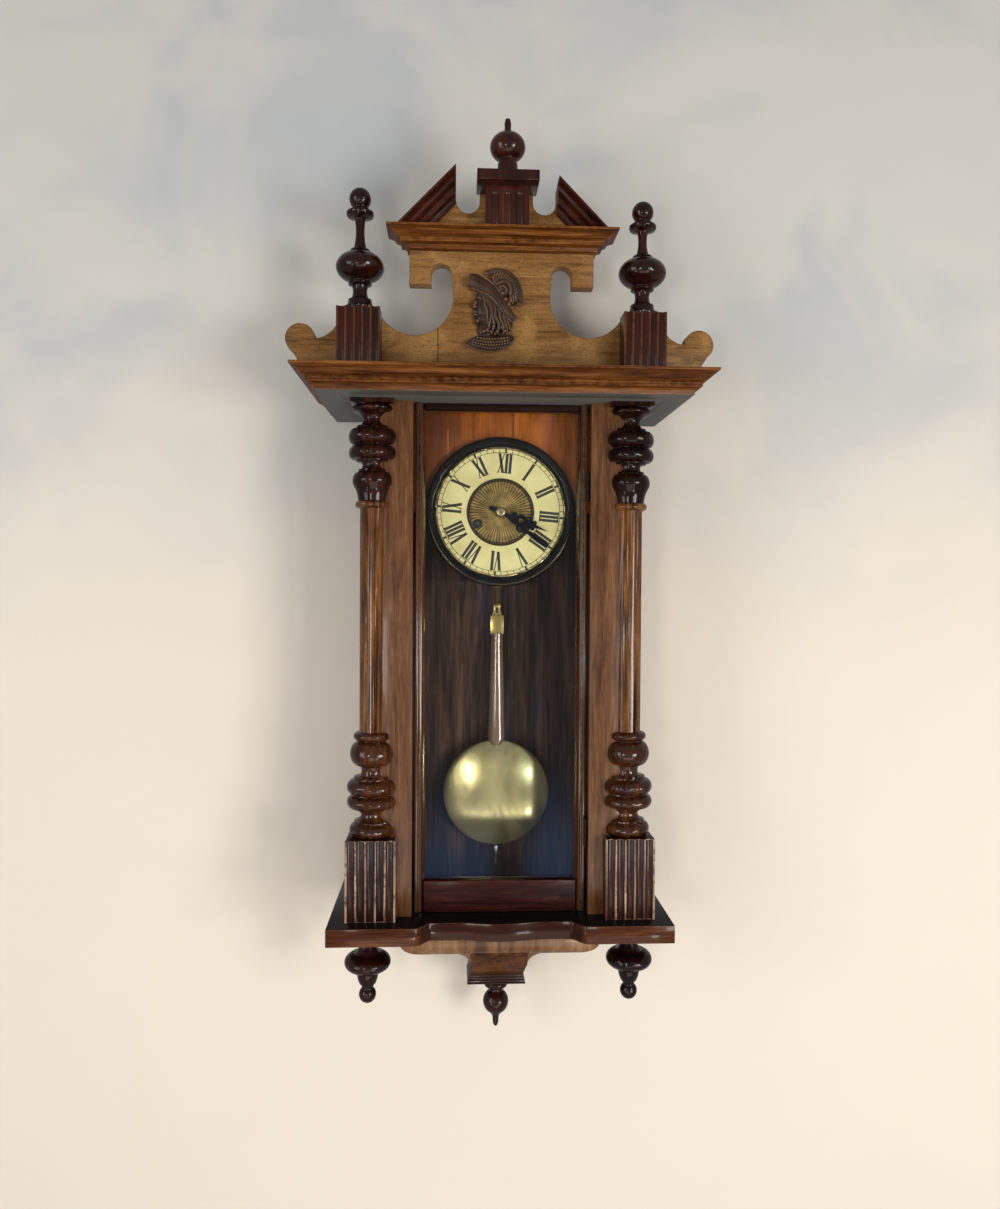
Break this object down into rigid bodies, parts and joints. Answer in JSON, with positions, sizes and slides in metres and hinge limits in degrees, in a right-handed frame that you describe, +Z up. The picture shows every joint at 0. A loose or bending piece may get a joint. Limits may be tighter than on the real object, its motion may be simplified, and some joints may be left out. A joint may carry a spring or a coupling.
{
  "type": "vienna regulator wall clock",
  "caption": "Wall clock in a turned and carved wooden case with a hinged glazed door, a round dial, a striking spring movement and a swinging pendulum.",
  "frame": {"origin": "centre of the hanging hole, on the wall plane at the clock's back", "axes": "+Z up, +Y into the wall, +X to the right as seen from the front; the dial faces -Y"},
  "size_m": [0.464, 0.209, 1.0013],
  "materials": {
    "carcase_walnut": "satin, worn",
    "crest_wood": "satin, faded golden brown",
    "moulding_wood": "satin, reddish with worn edges",
    "turned_mahogany": "glossy, dark",
    "column_wood": "glossy",
    "block_wood": "glossy, worn arrises",
    "door_wood": "satin",
    "rail_veneer": "satin, cross grain",
    "dial_board_veneer": "satin, golden",
    "inner_wood": "dull, dark",
    "pendulum_wood": "glossy",
    "clear_glass": "clear, old sheet",
    "polished_brass": "polished",
    "aged_brass": "dark, patinated",
    "gilt_brass": "matt gilt",
    "movement_brass": "satin",
    "cream_enamel": "satin cream with black numerals",
    "blued_steel": "blue black",
    "steel": "satin"
  },
  "bodies": {
    "case": {"back_board": "inner_wood", "case_sides": "carcase_walnut", "top_board": "inner_wood", "cornice_moulding": "moulding_wood", "pilasters": "carcase_walnut", "capitals": "turned_mahogany", "columns": "column_wood", "column_blocks": "block_wood", "plinth": "carcase_walnut", "apron": "carcase_walnut", "tail_block": "carcase_walnut", "tail_finial": "turned_mahogany", "drop_finials": "turned_mahogany", "crest_board": "crest_wood", "pediment_cornice": "moulding_wood", "raking_mouldings": "moulding_wood", "centre_pedestal": "turned_mahogany", "pedestal_cap": "turned_mahogany", "centre_finial": "turned_mahogany", "corner_blocks": "turned_mahogany", "corner_finials": "turned_mahogany", "carved_head": "turned_mahogany", "dial_board": "dial_board_veneer", "hanging_plate": "aged_brass", "case_hinge_leaves": "polished_brass", "door_catch": "polished_brass", "dial_plate": "gilt_brass", "chapter_ring": "cream_enamel", "centre_disc": "gilt_brass", "bezel": "aged_brass", "back_plate": "movement_brass", "front_plate": "movement_brass", "movement_brackets": "steel", "gong": "steel", "suspension_cock": "movement_brass", "suspension_spring": "steel"},
    "door": {"door_stiles": "door_wood", "door_rails": "rail_veneer", "door_glass": "clear_glass", "glazing_beads": "door_wood", "door_hinge_leaves": "polished_brass"},
    "minute_train": {"centre_arbor": "movement_brass", "minute_hand": "blued_steel", "hand_nut": "polished_brass"},
    "hour_train": {"hour_wheel": "movement_brass", "hour_hand": "blued_steel"},
    "minute_wheel": {"minute_wheel": "movement_brass"},
    "going_barrel": {"going_barrel": "movement_brass"},
    "strike_barrel": {"strike_barrel": "movement_brass"},
    "going_arbor": {"going_arbor": "steel"},
    "strike_arbor": {"strike_arbor": "steel"},
    "third_wheel": {"third_wheel": "movement_brass"},
    "escape_wheel": {"escape_wheel": "movement_brass"},
    "anchor": {"anchor": "steel"},
    "pin_wheel": {"pin_wheel": "movement_brass"},
    "hammer": {"hammer": "steel"},
    "pendulum": {"pendulum_hook": "polished_brass", "pendulum_rod": "pendulum_wood", "bob": "polished_brass"},
    "rating_nut": {"rating_nut": "polished_brass"}
  },
  "joints": [
    {"name": "door_hinge", "type": "hinge", "parent": "case", "child": "door", "pos_m": [0.0909, -0.1329, -0.2485], "axis": [0, 0, 1], "range_deg": [0, 110]},
    {"name": "minute_turn", "type": "hinge", "parent": "case", "child": "minute_train", "pos_m": [0, -0.066, -0.0905], "axis": [0, 1, 0], "continuous": true},
    {"name": "hour_turn", "type": "hinge", "parent": "case", "child": "hour_train", "pos_m": [0, -0.066, -0.0905], "axis": [0, 1, 0], "continuous": true},
    {"name": "minute_wheel_turn", "type": "hinge", "parent": "case", "child": "minute_wheel", "pos_m": [0, -0.066, -0.1025], "axis": [0, 1, 0], "continuous": true},
    {"name": "going_barrel_turn", "type": "hinge", "parent": "case", "child": "going_barrel", "pos_m": [0.02212, -0.066, -0.10747], "axis": [0, 1, 0], "continuous": true},
    {"name": "third_turn", "type": "hinge", "parent": "case", "child": "third_wheel", "pos_m": [-0.01755, -0.066, -0.07077], "axis": [0, 1, 0], "continuous": true},
    {"name": "escape_turn", "type": "hinge", "parent": "case", "child": "escape_wheel", "pos_m": [0, -0.066, -0.0575], "axis": [0, 1, 0], "continuous": true},
    {"name": "strike_barrel_turn", "type": "hinge", "parent": "case", "child": "strike_barrel", "pos_m": [-0.02473, -0.066, -0.10337], "axis": [0, 1, 0], "continuous": true},
    {"name": "pin_wheel_turn", "type": "hinge", "parent": "case", "child": "pin_wheel", "pos_m": [-0.04265, -0.066, -0.08202], "axis": [0, 1, 0], "continuous": true},
    {"name": "going_winding", "type": "hinge", "parent": "case", "child": "going_arbor", "pos_m": [0.02212, -0.066, -0.10747], "axis": [0, 1, 0], "continuous": true},
    {"name": "strike_winding", "type": "hinge", "parent": "case", "child": "strike_arbor", "pos_m": [-0.02473, -0.066, -0.10337], "axis": [0, 1, 0], "continuous": true},
    {"name": "pendulum_swing", "type": "hinge", "parent": "case", "child": "pendulum", "pos_m": [0, -0.03, -0.0365], "axis": [0, 1, 0], "range_deg": [-3, 3]},
    {"name": "anchor_swing", "type": "hinge", "parent": "case", "child": "anchor", "pos_m": [0, -0.06, -0.0365], "axis": [0, 1, 0], "range_deg": [-3, 3]},
    {"name": "hammer_lift", "type": "hinge", "parent": "case", "child": "hammer", "pos_m": [-0.043, -0.066, -0.0585], "axis": [0, 1, 0], "range_deg": [0, 12], "stiffness_Nm_per_rad": 0.02},
    {"name": "rating_turn", "type": "hinge", "parent": "pendulum", "child": "rating_nut", "pos_m": [0, -0.03, -0.478], "axis": [0, 0, 1], "continuous": true}
  ],
  "couplings": [
    {"joint": "hour_turn", "follows": "minute_turn", "ratio": 0.083333},
    {"joint": "minute_wheel_turn", "follows": "minute_turn", "ratio": -0.33333},
    {"joint": "going_barrel_turn", "follows": "minute_turn", "ratio": -0.16667},
    {"joint": "third_turn", "follows": "minute_turn", "ratio": -10},
    {"joint": "escape_turn", "follows": "minute_turn", "ratio": 100},
    {"joint": "pin_wheel_turn", "follows": "strike_barrel_turn", "ratio": -6},
    {"joint": "anchor_swing", "follows": "pendulum_swing", "ratio": 1}
  ]
}
